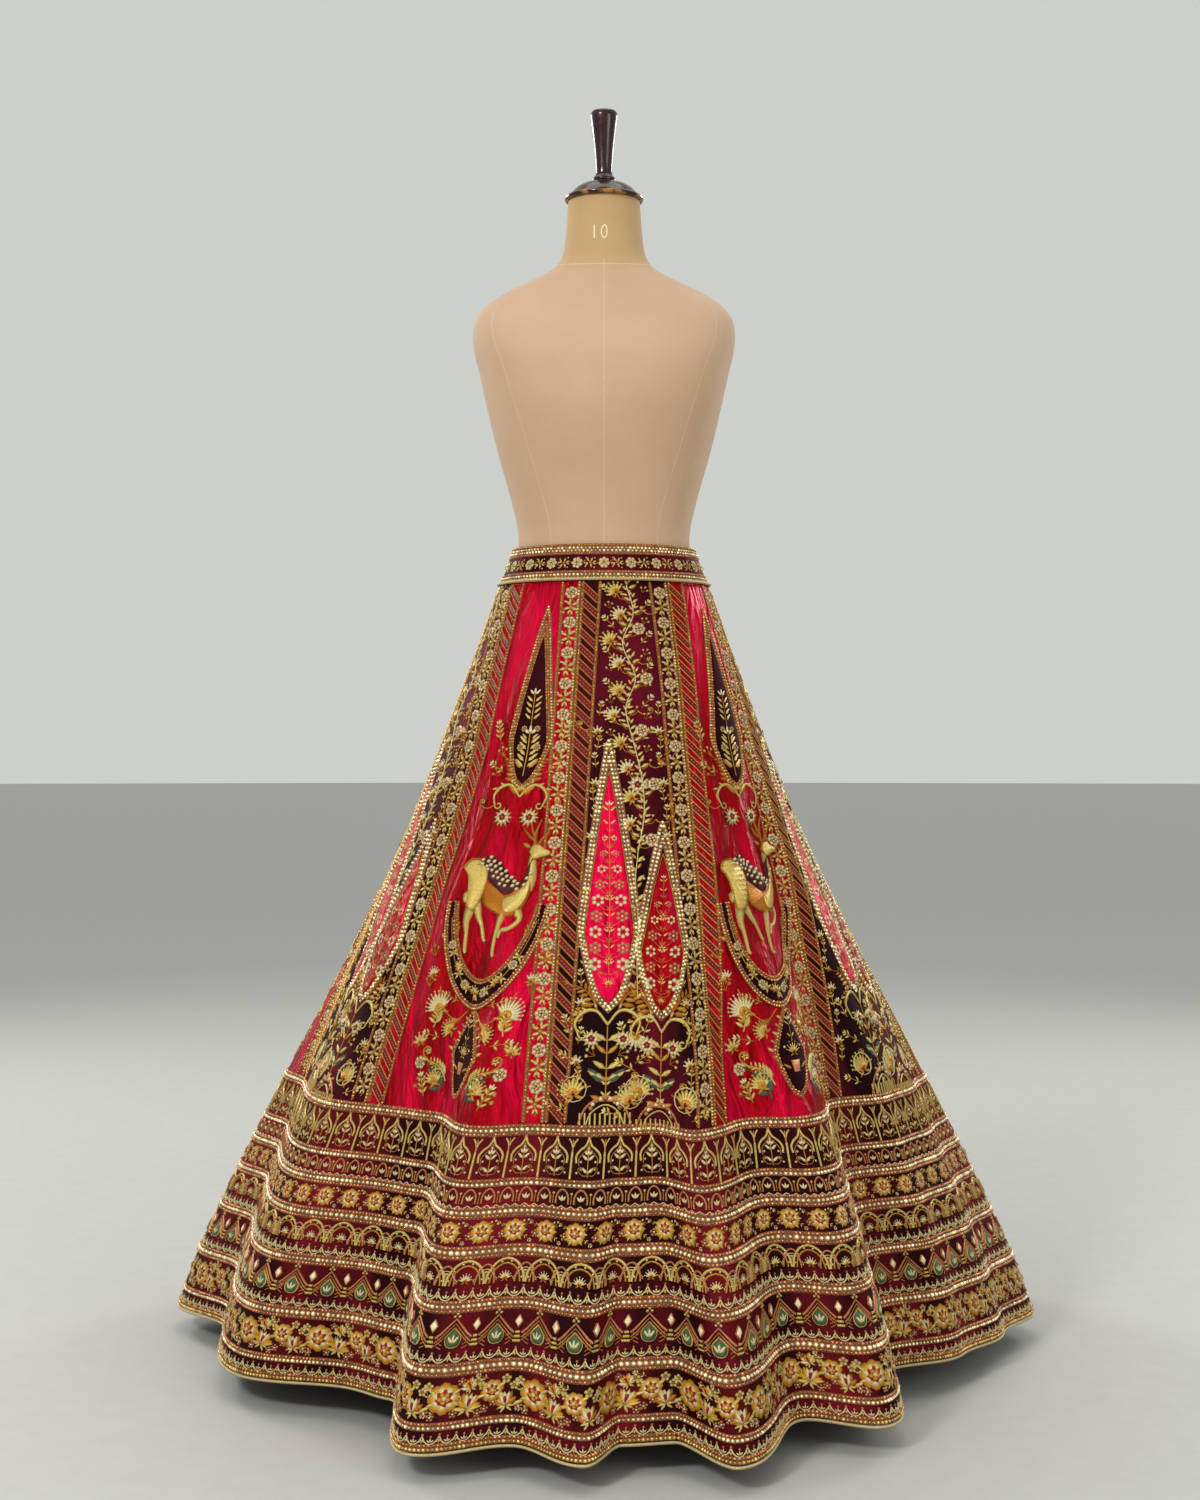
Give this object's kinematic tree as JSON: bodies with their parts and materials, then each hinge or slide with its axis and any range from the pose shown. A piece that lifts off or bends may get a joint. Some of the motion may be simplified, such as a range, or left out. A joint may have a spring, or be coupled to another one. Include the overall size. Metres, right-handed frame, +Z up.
{
  "type": "lehenga skirt on dress form",
  "caption": "Flared, panelled bridal lehenga skirt of velvet and satin with appliques and a deep hem border, worn by a limbless dress form on a stand.",
  "frame": {"origin": "on the floor, under the middle of the whole, which is the axis of the form's pole", "axes": "+Z up from the floor to the finial, -Y towards the centre front of the skirt, +X to the viewer's right"},
  "size_m": [1.1849, 1.2626, 1.6826],
  "materials": {
    "kali_velvet": "deep maroon silk velvet with gold thread and bead embroidery",
    "kali_satin": "glossy red satin with gold thread and bead embroidery",
    "border_velvet": "wine velvet, densely embroidered with gold thread, beads and stones",
    "applique_velvet": "dark velvet patch with gold embroidery",
    "applique_satin": "pink satin patch with gold embroidery",
    "piping": "cream-gold piping cord",
    "form_cover": "cream cotton cover, slightly aged",
    "form_mahogany": "dark mahogany, polished",
    "form_steel": "black painted steel"
  },
  "bodies": {
    "root": {"form_torso": "form_cover", "form_neck_cap": "form_mahogany", "form_finial": "form_mahogany", "form_pole": "form_steel", "form_base": "form_steel", "waistband": "border_velvet", "waistband_piping": "piping", "hem_piping": "piping", "kali_1_velvet": "kali_velvet", "hem_border_1": "border_velvet", "satin_drop_left_1": "applique_satin", "satin_drop_right_1": "applique_satin", "kali_2_satin": "kali_satin", "hem_border_2": "border_velvet", "velvet_drop_2": "applique_velvet", "velvet_crescent_2": "applique_velvet", "velvet_lozenge_2": "applique_velvet", "kali_3_velvet": "kali_velvet", "hem_border_3": "border_velvet", "satin_drop_left_3": "applique_satin", "satin_drop_right_3": "applique_satin", "kali_4_satin": "kali_satin", "hem_border_4": "border_velvet", "velvet_drop_4": "applique_velvet", "velvet_crescent_4": "applique_velvet", "velvet_lozenge_4": "applique_velvet", "kali_5_velvet": "kali_velvet", "hem_border_5": "border_velvet", "satin_drop_left_5": "applique_satin", "satin_drop_right_5": "applique_satin", "kali_6_satin": "kali_satin", "hem_border_6": "border_velvet", "velvet_drop_6": "applique_velvet", "velvet_crescent_6": "applique_velvet", "velvet_lozenge_6": "applique_velvet", "kali_7_velvet": "kali_velvet", "hem_border_7": "border_velvet", "satin_drop_left_7": "applique_satin", "satin_drop_right_7": "applique_satin", "kali_8_satin": "kali_satin", "hem_border_8": "border_velvet", "velvet_drop_8": "applique_velvet", "velvet_crescent_8": "applique_velvet", "velvet_lozenge_8": "applique_velvet", "kali_9_velvet": "kali_velvet", "hem_border_9": "border_velvet", "satin_drop_left_9": "applique_satin", "satin_drop_right_9": "applique_satin", "kali_10_satin": "kali_satin", "hem_border_10": "border_velvet", "velvet_drop_10": "applique_velvet", "velvet_crescent_10": "applique_velvet", "velvet_lozenge_10": "applique_velvet"}
  },
  "joints": []
}
